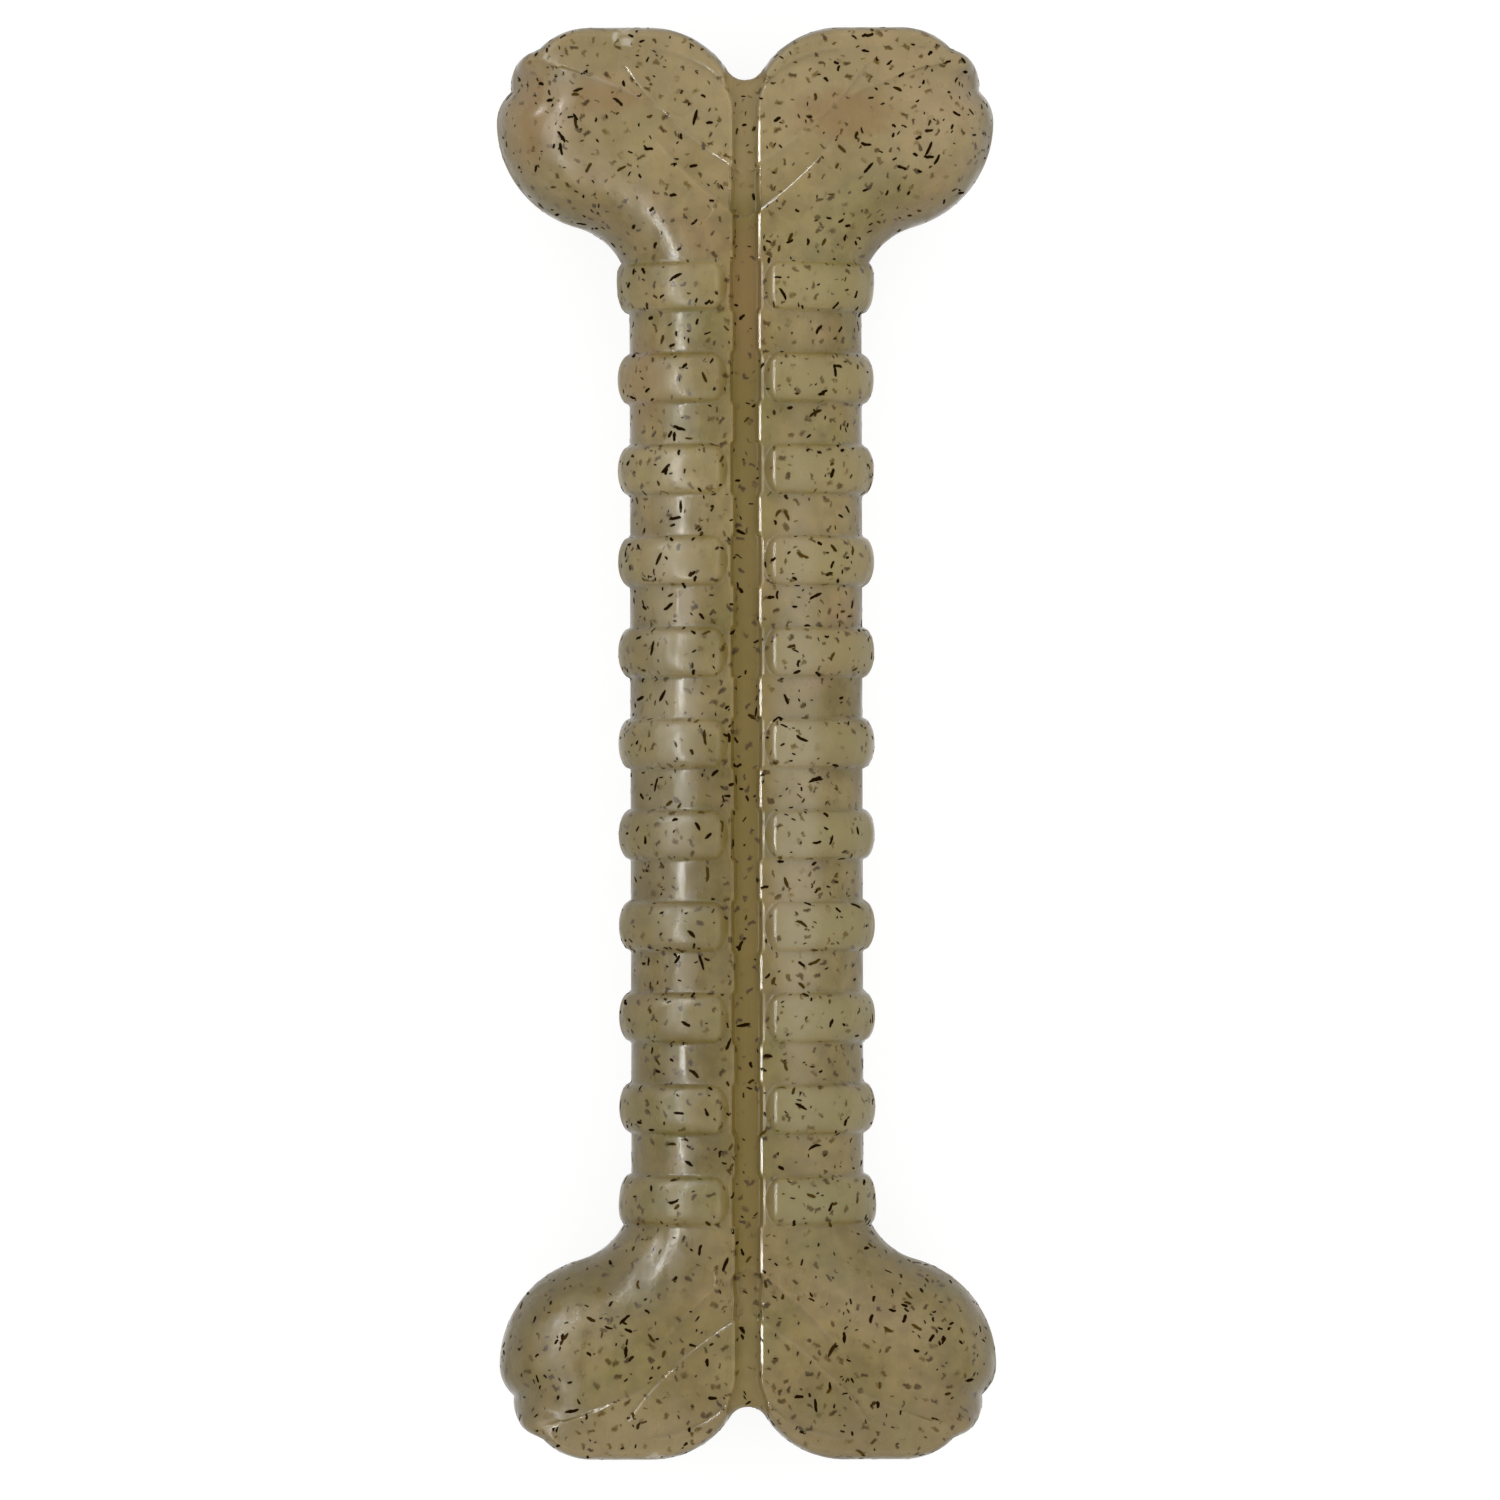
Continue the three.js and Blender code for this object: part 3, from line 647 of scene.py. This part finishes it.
def body_mesh():
    """The bone with its grooves and the marks of its mould."""
    mesh = smooth_body()
    x, y, _ = np.abs(read(mesh.polygons, "center").T / MM)
    cut_finer(mesh, near_crisp_mark(x, y))
    points = read(mesh.vertices, "co")
    x, y, _ = np.abs(points.T / MM)
    cut, worn = groove_cut(x, y, points[:, 1] > 0)
    cut += PIN_DEPTH * (1 - smooth_step(from_pin(x, y), PIN_RADIUS - PIN_EDGE, PIN_RADIUS))
    points -= read(mesh.vertex_normals, "vector") * (cut * MM)[:, None]
    mesh.vertices.foreach_set("co", points.ravel())
    raise_attribute(mesh, "polish", worn)
    # Painted shade in the grooves, deeper where a groove is deeper.
    raise_attribute(mesh, "channel_brown_and_shade", cut * GROOVE_SHADE)
    mesh.shade_smooth()
    return mesh


def add_object(name, mesh, material):
    piece = bpy.data.objects.new(name, mesh)
    piece.data.materials.append(material)
    bpy.context.scene.collection.objects.link(piece)
    return piece


class FleckMesh:
    """Collects slivers that lie in the face of a body."""

    def __init__(self, body, box, random):
        self.body = body
        self.box = box
        self.random = random
        self.points = []
        self.faces = []
        self.tints = []

    def add(self, centre, normal, along, length, width):
        across = normal.cross(along)
        bend = self.random.normal(0, FLECK_BEND) * length
        spine = [centre + along * (s * length / 2) + across * (bend * s * s) for s in FLECK_STATIONS]
        ring = []
        for side in (1, -1):
            stations = list(zip(FLECK_STATIONS, spine))
            for share, place in stations[::side]:
                taper = 1 - abs(share) ** FLECK_TAPER_POWER * FLECK_TAPER
                reach = width / 2 * taper * self.random.uniform(*FLECK_RAGGED)
                ring.append(place + across * (-side * reach))
        self.add_ring(ring)

    def add_ring(self, ring):
        """Presses a ring of points onto the face, inside the box, and closes it all round."""
        start = len(self.points)
        count = len(ring)
        on_face = [self.body.closest_point_on_mesh(point)[1:3] for point in ring]
        self.points += [np.clip(place + normal * (FLECK_PROUD * MM), *self.box) for place, normal in on_face]
        self.points += [place - normal * (FLECK_DEPTH * MM) for place, normal in on_face]
        for i in range(count // 2 - 1):
            top = [start + i, start + i + 1, start + count - 2 - i, start + count - 1 - i]
            self.faces.append(top)
            self.faces.append([corner + count for corner in reversed(top)])
        for i in range(count):
            after = (i + 1) % count
            self.faces.append([start + i, start + count + i, start + count + after, start + after])
        self.tints += [self.random.uniform(0, 1)] * (2 * count)

    def mesh(self):
        mesh = bpy.data.meshes.new("flecks")
        mesh.from_pydata(self.points, [], self.faces)
        mesh.attributes.new("tint", "FLOAT", "POINT").data.foreach_set("value", self.tints)
        return mesh


def solid_fleck(node):
    """Middle, direction and length of a fleck of the solid part."""
    points = np.array([corner.co for corner in node.data.vertices])
    centre = points.mean(axis=0)
    axes = np.linalg.svd(points - centre, full_matrices=False)[2]
    length = np.ptp((points - centre) @ axes[0])
    return Vector(centre), Vector(axes[0]), length


def build_flecks(body, box, solid_nodes, material):
    random = np.random.default_rng(RANDOM_SEED)
    flecks = FleckMesh(body, box, random)
    for node in solid_nodes:
        centre, along, length = solid_fleck(node)
        _, place, normal, _ = body.closest_point_on_mesh(centre)
        level = (along - normal * along.dot(normal)).normalized()
        flecks.add(place, normal, level, length, FLECK_WIDTHS[1] * MM)
    mesh = body.data
    areas = np.zeros(len(mesh.polygons))
    mesh.polygons.foreach_get("area", areas)
    count = int(areas.sum() / MM**2 * FLECKS_PER_SQUARE)
    for index in random.choice(len(areas), count, p=areas / areas.sum()):
        face = mesh.polygons[int(index)]
        along = face.normal.cross(Vector(random.normal(size=3))).normalized()
        length = FLECK_TYPICAL_LENGTH * math.exp(random.normal(0, FLECK_LENGTH_SPREAD))
        length = np.clip(length, *FLECK_LENGTHS)
        width = np.clip(length * random.uniform(*FLECK_SLIMNESS), *FLECK_WIDTHS)
        flecks.add(face.center, face.normal, along, length * MM, width * MM)
    return add_object("fibre_flecks", flecks.mesh(), material)


# Sockets of a colour mix node, by number because their names repeat.
MIX_SHARE, MIX_FIRST, MIX_SECOND, MIX_RESULT = 0, 6, 7, 2


class Nodes:
    """Adds nodes to one tree by short calls that hand back sockets."""

    def __init__(self, tree):
        self.tree = tree

    def put(self, socket, value):
        if isinstance(value, bpy.types.NodeSocket):
            self.tree.links.new(value, socket)
        else:
            socket.default_value = value

    def node(self, kind, inputs=None, **settings):
        node = self.tree.nodes.new(kind)
        for name, value in settings.items():
            setattr(node, name, value)
        for name, value in (inputs or {}).items():
            self.put(node.inputs[name], value)
        return node

    def math(self, operation, first, second=0.0):
        return self.node("ShaderNodeMath", {0: first, 1: second}, operation=operation).outputs[0]

    def vector(self, operation, first, second=(0, 0, 0)):
        return self.node("ShaderNodeVectorMath", {0: first, 1: second}, operation=operation).outputs[0]

    def measure(self, operation, first, second=(0, 0, 0)):
        return self.node("ShaderNodeVectorMath", {0: first, 1: second}, operation=operation).outputs["Value"]

    def scaled(self, vector, amount):
        node = self.node("ShaderNodeVectorMath", {0: vector, "Scale": amount}, operation="SCALE")
        return node.outputs[0]

    def parts(self, vector):
        """The X, Y and Z of a vector."""
        return self.node("ShaderNodeSeparateXYZ", {0: vector}).outputs

    def ramp(self, value, start, end, low=0.0, high=1.0):
        """Turns start to low and end to high, with a smooth change between."""
        inputs = {"Value": value, "From Min": start, "From Max": end, "To Min": low, "To Max": high}
        return self.node("ShaderNodeMapRange", inputs, interpolation_type="SMOOTHSTEP").outputs[0]

    def noise(self, place, scale, detail=2.0, distortion=0.0):
        inputs = {"Vector": place, "Scale": scale, "Detail": detail, "Distortion": distortion}
        return self.node("ShaderNodeTexNoise", inputs).outputs["Fac"]

    def noise_vector(self, place, scale):
        return self.node("ShaderNodeTexNoise", {"Vector": place, "Scale": scale}).outputs["Color"]

    def mix(self, share, first, second, blend="MIX"):
        node = self.node("ShaderNodeMix", data_type="RGBA", blend_type=blend)
        for number, value in ((MIX_SHARE, share), (MIX_FIRST, first), (MIX_SECOND, second)):
            self.put(node.inputs[number], value)
        return node.outputs[MIX_RESULT]

    def attribute(self, name):
        return self.node("ShaderNodeAttribute", attribute_name=name).outputs["Fac"]

    def place_in_mm(self):
        coordinates = self.node("ShaderNodeTexCoord").outputs["Object"]
        return self.scaled(coordinates, 1 / MM)

    def normal(self):
        return self.node("ShaderNodeNewGeometry").outputs["Normal"]


def new_finish(name):
    """A material, a way to add nodes to it and the sockets of its shader."""
    material = bpy.data.materials.new(name)
    material.use_nodes = True
    nodes = Nodes(material.node_tree)
    return material, nodes, material.node_tree.nodes["Principled BSDF"].inputs


def deep_flecks(nodes, place):
    """Share of ragged slivers at random depths just under the face, the deeper the fainter and softer."""
    normal = nodes.normal()
    ragged = nodes.vector("SUBTRACT", nodes.noise_vector(place, DEEP_FLECK_RAGGED), (0.5, 0.5, 0.5))
    bent = nodes.vector("ADD", place, nodes.scaled(ragged, DEEP_FLECK_BEND))
    in_cells = nodes.scaled(bent, 1 / DEEP_FLECK_CELL)
    cells = nodes.node("ShaderNodeTexVoronoi", {"Vector": in_cells, "Scale": 1.0})
    local = nodes.vector("SUBTRACT", bent, nodes.scaled(cells.outputs["Position"], DEEP_FLECK_CELL))
    depth = nodes.measure("DOT_PRODUCT", local, normal)
    flat = nodes.vector("SUBTRACT", local, nodes.scaled(normal, depth))
    lot = nodes.vector("SUBTRACT", cells.outputs["Color"], (0.5, 0.5, 0.5))
    direction = nodes.vector("NORMALIZE", nodes.vector("CROSS_PRODUCT", normal, lot))
    along = nodes.measure("DOT_PRODUCT", flat, direction)
    across = nodes.measure("LENGTH", nodes.vector("SUBTRACT", flat, nodes.scaled(direction, along)))
    _, size_lot, shown_lot = nodes.parts(cells.outputs["Color"])
    size = nodes.ramp(size_lot, 0.0, 1.0, *DEEP_FLECK_SIZES)
    down = nodes.math("ABSOLUTE", depth)
    half_width = nodes.math("ADD", nodes.math("MULTIPLY", down, DEEP_FLECK_SPREAD), DEEP_FLECK_WIDTH / 2)
    edge = nodes.math("MULTIPLY", size, half_width)
    thin = nodes.ramp(across, edge, nodes.math("MULTIPLY", edge, DEEP_FLECK_CORE))
    reach = nodes.math("MULTIPLY", size, DEEP_FLECK_LENGTH / 2)
    solid = nodes.math("MULTIPLY", reach, DEEP_FLECK_SOLID)
    short = nodes.ramp(nodes.math("ABSOLUTE", along), reach, solid)
    near = nodes.ramp(down, DEEP_FLECK_CELL / 2, 0.0)
    chosen = nodes.math("LESS_THAN", shown_lot, DEEP_FLECKS_SHOWN)
    shape = nodes.math("MULTIPLY", thin, short)
    return nodes.math("MULTIPLY", nodes.math("MULTIPLY", shape, near), chosen)


def with_patch(nodes, place, colour, patch):
    """A colour with one patch laid over it, which is ragged and fades over a soft share of its size."""
    away = nodes.vector("DIVIDE", nodes.vector("SUBTRACT", place, patch.centre), patch.size)
    ragged = nodes.math("MULTIPLY", nodes.noise(place, patch.fineness, 3.0), PATCH_RAGGED)
    from_middle = nodes.math("ADD", nodes.measure("LENGTH", away), ragged)
    share = nodes.ramp(from_middle, 1 + patch.softness, 1.0, 0.0, patch.share)
    return nodes.mix(share, colour, patch.colour)


def cloudy_colour(nodes, place):
    """Tan clouded with rose and olive, warmer and paler towards the far end."""
    _, along, _ = nodes.parts(place)
    clouds = nodes.noise(place, 0.05, 3.0, 0.6)
    colour = nodes.mix(nodes.ramp(clouds, 0.36, 0.64), BROWN, TAN)
    warmth = nodes.noise(nodes.vector("ADD", place, (90, 40, 0)), 0.07, 3.0, 0.5)
    far = nodes.ramp(along, -70, 30, 0.4, 1.0)
    rose = nodes.math("MULTIPLY", nodes.ramp(warmth, 0.5, 0.72, 0.0, 0.6), far)
    colour = nodes.mix(rose, colour, ROSE)
    olive = nodes.noise(nodes.vector("ADD", place, (-70, 15, 30)), 0.11, 3.0, 0.5)
    colour = nodes.mix(nodes.ramp(olive, 0.48, 0.72, 0.0, 0.6), colour, OLIVE)
    mottle = nodes.ramp(nodes.noise(place, 0.5, 4.0), 0.3, 0.7, 0.88, 1.1)
    colour = nodes.mix(1.0, colour, mottle, "MULTIPLY")
    colour = nodes.mix(nodes.ramp(along, *FAR_TONE_FADE, 0.0, 0.45), colour, FAR_TONE)
    return nodes.mix(nodes.ramp(along, *NEAR_TIP_FADE, 0.0, 0.4), colour, FAR_TONE)


def nylon_colour(nodes, place):
    """The cloudy colour with painted shade between the ribs, ribs painted paler as painted light, the
    channel's brown with painted shade in it, painted shade on steep sides and patches of other colours.
    """
    across, along, _ = nodes.parts(place)
    colour = cloudy_colour(nodes, place)
    rib = nodes.attribute("rib_share")
    from_middle = nodes.math("ABSOLUTE", along)
    # Painted shade in the gaps between the ribs.
    gap_shade = nodes.math("MULTIPLY", nodes.math("SUBTRACT", 1.0, rib), nodes.ramp(from_middle, *GAP_SHADE_FADE))
    colour = nodes.mix(1.0, colour, nodes.ramp(gap_shade, 0.0, 1.0, 1.0, 0.94), "MULTIPLY")
    # Painted light: the ribs paler than the rest, more on the right side than on the left.
    pale = nodes.mix(nodes.ramp(along, 40, -60), LIT_RIB_PALE, LIT_RIB_OLIVE)
    colour = nodes.mix(nodes.math("MULTIPLY", rib, nodes.ramp(across, -8, 8, 0.2, 0.7)), colour, pale)
    colour = nodes.mix(1.0, colour, nodes.ramp(along, -80, 80, 0.88, 1.06), "MULTIPLY")
    # Painted shade on steep sides, half as much on the ribs and spared in the channel.
    upright = nodes.math("ABSOLUTE", nodes.parts(nodes.normal())[2])
    steep = nodes.ramp(upright, 0.75, 0.25, 0.0, 0.85)
    side = nodes.math("MULTIPLY", steep, nodes.ramp(rib, 0.0, 1.0, 1.0, 0.5))
    # The channel's brown with painted shade in the channel, up the ribs' inner ends and in the grooves,
    # fading on the knuckles. Steep sides there are spared their painted shade.
    channel = nodes.attribute("channel_brown_and_shade")
    fading = nodes.ramp(from_middle, *CHANNEL_FADE, 0.0, CHANNEL_FADED)
    spared = nodes.math("MULTIPLY", channel, fading)
    side = nodes.math("MULTIPLY", side, nodes.math("SUBTRACT", 1.0, spared))
    colour = nodes.mix(side, colour, SIDE_SHADE_BROWN)
    channel = nodes.math("MULTIPLY", channel, nodes.ramp(fading, 0.0, CHANNEL_FADED, *CHANNEL_SHADE_SHARES))
    colour = nodes.mix(channel, colour, CHANNEL_BROWN_AND_SHADE)
    for patch in PATCHES:
        colour = with_patch(nodes, place, colour, patch)
    return colour


def nylon_relief(nodes, place, rest, knuckle):
    """Fine grain, low waves and streaks along the shaft, which break up the highlights. The rest is the
    share of the relief that wear has left."""
    grain = nodes.math("MULTIPLY", nodes.noise(place, 3.5, 2.0), GRAIN_HEIGHT)
    waves = nodes.math("MULTIPLY", nodes.noise(place, 0.35, 2.0), WAVE_HEIGHT)
    streaks = nodes.noise(nodes.vector("MULTIPLY", place, (1.0, 0.08, 1.0)), 1.6, 2.0)
    streaks = nodes.math("MULTIPLY", streaks, nodes.ramp(knuckle, 0.0, 1.0, STREAK_HEIGHT, 0.0))
    height = nodes.math("ADD", nodes.math("ADD", grain, waves), streaks)
    inputs = {"Strength": rest, "Distance": MM, "Height": height}
    return nodes.node("ShaderNodeBump", inputs).outputs[0]


def nylon_finish():
    material, nodes, shader = new_finish("nylon")
    place = nodes.place_in_mm()
    colour = nylon_colour(nodes, place)
    faint = deep_flecks(nodes, place)
    colour = nodes.mix(nodes.ramp(faint, 0.0, 0.6), colour, FLECK_STAIN, "MULTIPLY")
    colour = nodes.mix(nodes.math("MULTIPLY", faint, DEEP_FLECK_STRENGTH), colour, DEEP_FLECK)
    nodes.put(shader["Base Color"], colour)
    patches = nodes.noise(nodes.vector("MULTIPLY", place, (1.0, 0.4, 1.0)), 0.4, 3.0)
    matt = nodes.ramp(patches, 0.35, 0.65, *ROUGHNESS)
    matt = nodes.math("ADD", matt, nodes.math("MULTIPLY", nodes.attribute("rib_share"), RIB_ROUGHER))
    matt = nodes.math("ADD", matt, nodes.math("MULTIPLY", nodes.attribute("channel_brown_and_shade"), CHANNEL_ROUGHER))
    knuckle = nodes.ramp(nodes.math("ABSOLUTE", nodes.parts(place)[1]), *KNUCKLE_FADE)
    matt = nodes.math("ADD", matt, nodes.math("MULTIPLY", knuckle, KNUCKLE_ROUGHER))
    unpolished = nodes.math("SUBTRACT", 1.0, nodes.attribute("polish"))
    sheen = nodes.math("MULTIPLY", nodes.math("SUBTRACT", matt, POLISHED), unpolished)
    nodes.put(shader["Roughness"], nodes.math("ADD", sheen, POLISHED))
    nodes.put(shader["IOR"], NYLON_IOR)
    nodes.put(shader["Specular IOR Level"], NYLON_SPECULAR)
    nodes.put(shader["Subsurface Weight"], SUBSURFACE_SHARE)
    nodes.put(shader["Subsurface Radius"], SUBSURFACE_RADIUS)
    nodes.put(shader["Subsurface Scale"], SUBSURFACE_SCALE * MM)
    nodes.put(shader["Normal"], nylon_relief(nodes, place, unpolished, knuckle))
    return material


def fibre_finish():
    material, nodes, shader = new_finish("fibre")
    tint = nodes.ramp(nodes.attribute("tint"), 0.6, 1.0)
    nodes.put(shader["Base Color"], nodes.mix(tint, FIBRE_DARK, FIBRE_BROWN))
    nodes.put(shader["Roughness"], FIBRE_ROUGHNESS)
    nodes.put(shader["Specular IOR Level"], 0.0)
    return material


def build_floor():
    """A pale floor that the camera sees as white, apart from the bone's soft shadow."""
    material, nodes, shader = new_finish("floor")
    path = nodes.node("ShaderNodeLightPath").outputs
    greys = [(grey, grey, grey, 1) for grey in (FLOOR_BOUNCE, FLOOR_GREY)]
    seen = nodes.math("MAXIMUM", path["Is Camera Ray"], path["Is Glossy Ray"])
    seen = nodes.math("MAXIMUM", seen, path["Is Transmission Ray"])
    nodes.put(shader["Base Color"], nodes.mix(seen, *greys))
    nodes.put(shader["Emission Color"], (1, 1, 1, 1))
    nodes.put(shader["Emission Strength"], nodes.math("MULTIPLY", seen, FLOOR_GLOW))
    nodes.put(shader["Roughness"], 1.0)
    nodes.put(shader["Specular IOR Level"], 0.0)
    half = FLOOR_SIDE / 2 * MM
    mesh = bpy.data.meshes.new("floor")
    rim = [(-half, -half, 0), (half, -half, 0), (half, half, 0), (-half, half, 0)]
    mesh.from_pydata(rim, [], [(0, 1, 2, 3)])
    add_object("floor", mesh, material)


def build_surround():
    """Soft light from all round, weaker near the ground and overhead, stronger from the far right."""
    world = bpy.data.worlds.new("surround")
    world.use_nodes = True
    nodes = Nodes(world.node_tree)
    right, far, up = nodes.parts(nodes.node("ShaderNodeTexCoord").outputs["Generated"])
    above = nodes.ramp(up, 0.0, 0.6, GROUND_SHARE, 1.0)
    overhead = nodes.ramp(up, 0.7, 1.0, 1.0, OVERHEAD_SHARE)
    lean_far = nodes.math("MULTIPLY", far, LEAN_FAR)
    lean = nodes.math("ADD", lean_far, nodes.math("MULTIPLY", right, LEAN_RIGHT))
    background = world.node_tree.nodes["Background"].inputs
    level = nodes.math("MULTIPLY", above, overhead)
    nodes.put(background["Strength"], nodes.math("MULTIPLY", level, nodes.math("ADD", lean, SURROUND_LEVEL)))
    nodes.put(background["Color"], (1, 1, 1, 1))
    bpy.context.scene.world = world


def build_lamp(lamp):
    light = bpy.data.lights.new("lamp", "AREA")
    light.shape = "RECTANGLE"
    light.size = lamp.length * MM
    light.size_y = lamp.thickness * MM
    light.energy = LAMP_GLOW * math.pi * light.size * light.size_y
    azimuth = math.radians(lamp.azimuth)
    lift = math.radians(lamp.lift)
    way = Vector((math.cos(azimuth) * math.cos(lift), math.sin(azimuth) * math.cos(lift), math.sin(lift)))
    holder = bpy.data.objects.new("lamp", light)
    holder.location = (Vector((0, 0, KNUCKLE_THICKNESS)) + way * lamp.distance) * MM
    holder.rotation_euler = (math.pi / 2 - lift, 0, azimuth + math.pi / 2)
    holder.visible_camera = False
    holder.visible_diffuse = False
    bpy.context.scene.collection.objects.link(holder)


def build_camera():
    camera = bpy.data.cameras.new("camera")
    half_side = PHOTO_SIDE / 2
    camera.angle = 2 * math.atan(half_side * PIXEL / (CAMERA_HEIGHT - MID_HEIGHT))
    camera.clip_end = CAMERA_REACH * MM
    holder = bpy.data.objects.new("camera", camera)
    middle_x = (half_side - BONE_MIDDLE_PIXEL[0]) * PIXEL
    middle_y = (BONE_MIDDLE_PIXEL[1] - half_side) * PIXEL
    holder.location = Vector((middle_x, middle_y, CAMERA_HEIGHT)) * MM
    holder.rotation_euler = (0, 0, math.radians(CAMERA_ROLL))
    bpy.context.scene.collection.objects.link(holder)
    bpy.context.scene.camera = holder


def corners(bounds):
    return [list(corner) for corner in bounds]


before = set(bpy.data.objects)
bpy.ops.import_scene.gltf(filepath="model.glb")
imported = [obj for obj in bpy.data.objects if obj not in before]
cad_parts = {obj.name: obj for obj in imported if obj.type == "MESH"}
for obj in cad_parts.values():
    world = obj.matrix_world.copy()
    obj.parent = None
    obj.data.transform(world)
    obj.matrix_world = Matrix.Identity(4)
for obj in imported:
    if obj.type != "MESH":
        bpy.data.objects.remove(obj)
solid_bounds = corners(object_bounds())

body = add_object("nylon_bone", body_mesh(), nylon_finish())
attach(body, "root")
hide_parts("nylon_body")

fleck_names = sorted(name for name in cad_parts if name.startswith("fleck_"))
solid_flecks = [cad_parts[name] for name in fleck_names]
flecks = build_flecks(body, solid_bounds, solid_flecks, fibre_finish())
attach(flecks, "root")
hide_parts(*fleck_names)

build_floor()
build_surround()
build_lamp(SIDE_LAMP)
build_lamp(BACK_LAMP)
build_camera()
bpy.context.scene.view_settings.view_transform = "Standard"
